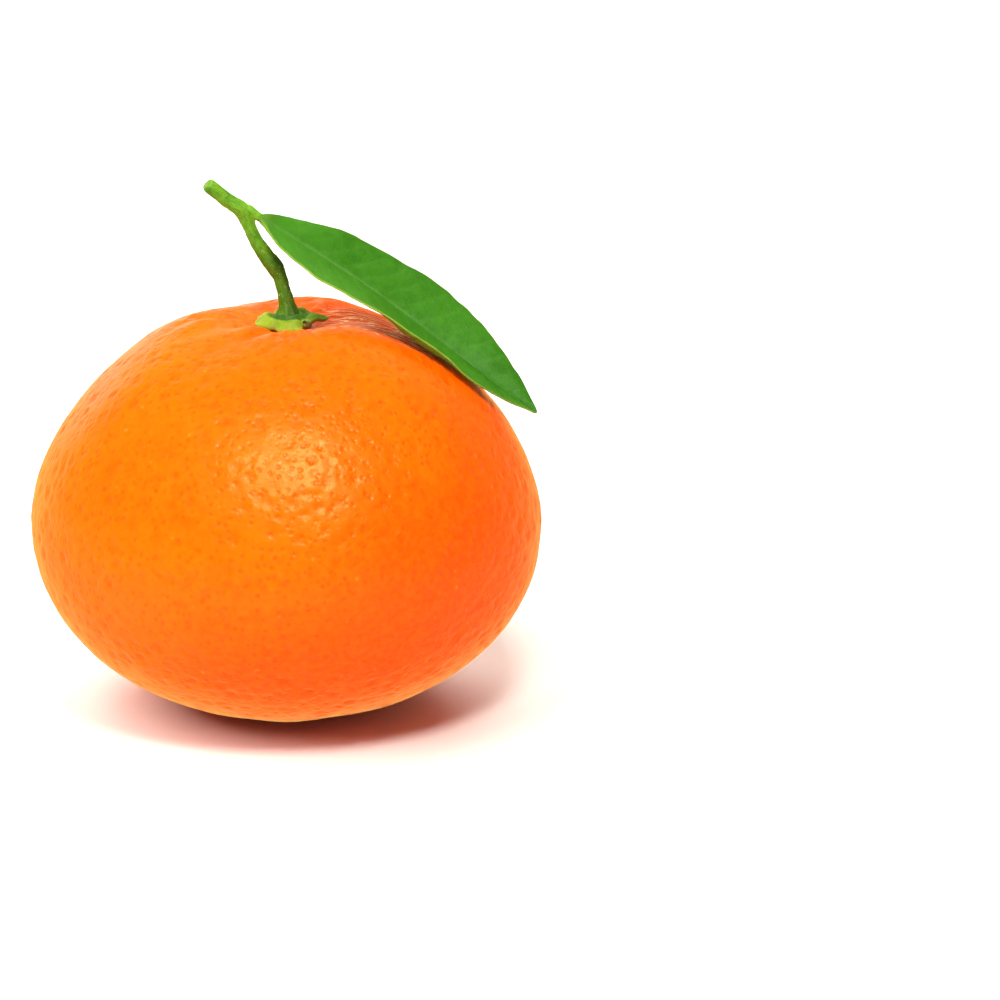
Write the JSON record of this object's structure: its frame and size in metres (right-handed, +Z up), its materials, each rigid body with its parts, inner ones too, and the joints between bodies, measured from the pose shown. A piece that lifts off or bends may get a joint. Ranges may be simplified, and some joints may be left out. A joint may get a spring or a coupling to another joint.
{
  "type": "mandarin",
  "caption": "Whole unpeeled mandarin, a flattened round orange citrus fruit with its green calyx, a short bent stem and a single pointed leaf.",
  "frame": {"origin": "centre of the flat spot on the underside that the fruit rests on", "axes": "+Z up along the fruit's axis, from the blossom end to the stem end; +X is the side that the leaf's tip points to; -Y is the side that the leaf's upper face leans towards"},
  "size_m": [0.0684, 0.0676, 0.0725],
  "materials": {
    "peel": "waxy satin peel with fine pores",
    "calyx": "matt, fresh green",
    "stem": "satin, fresh green bark",
    "leaf": "satin leaf blade with a paler midrib"
  },
  "bodies": {
    "root": {"fruit": "peel", "calyx": "calyx", "stem": "stem", "leaf": "leaf"}
  },
  "joints": []
}
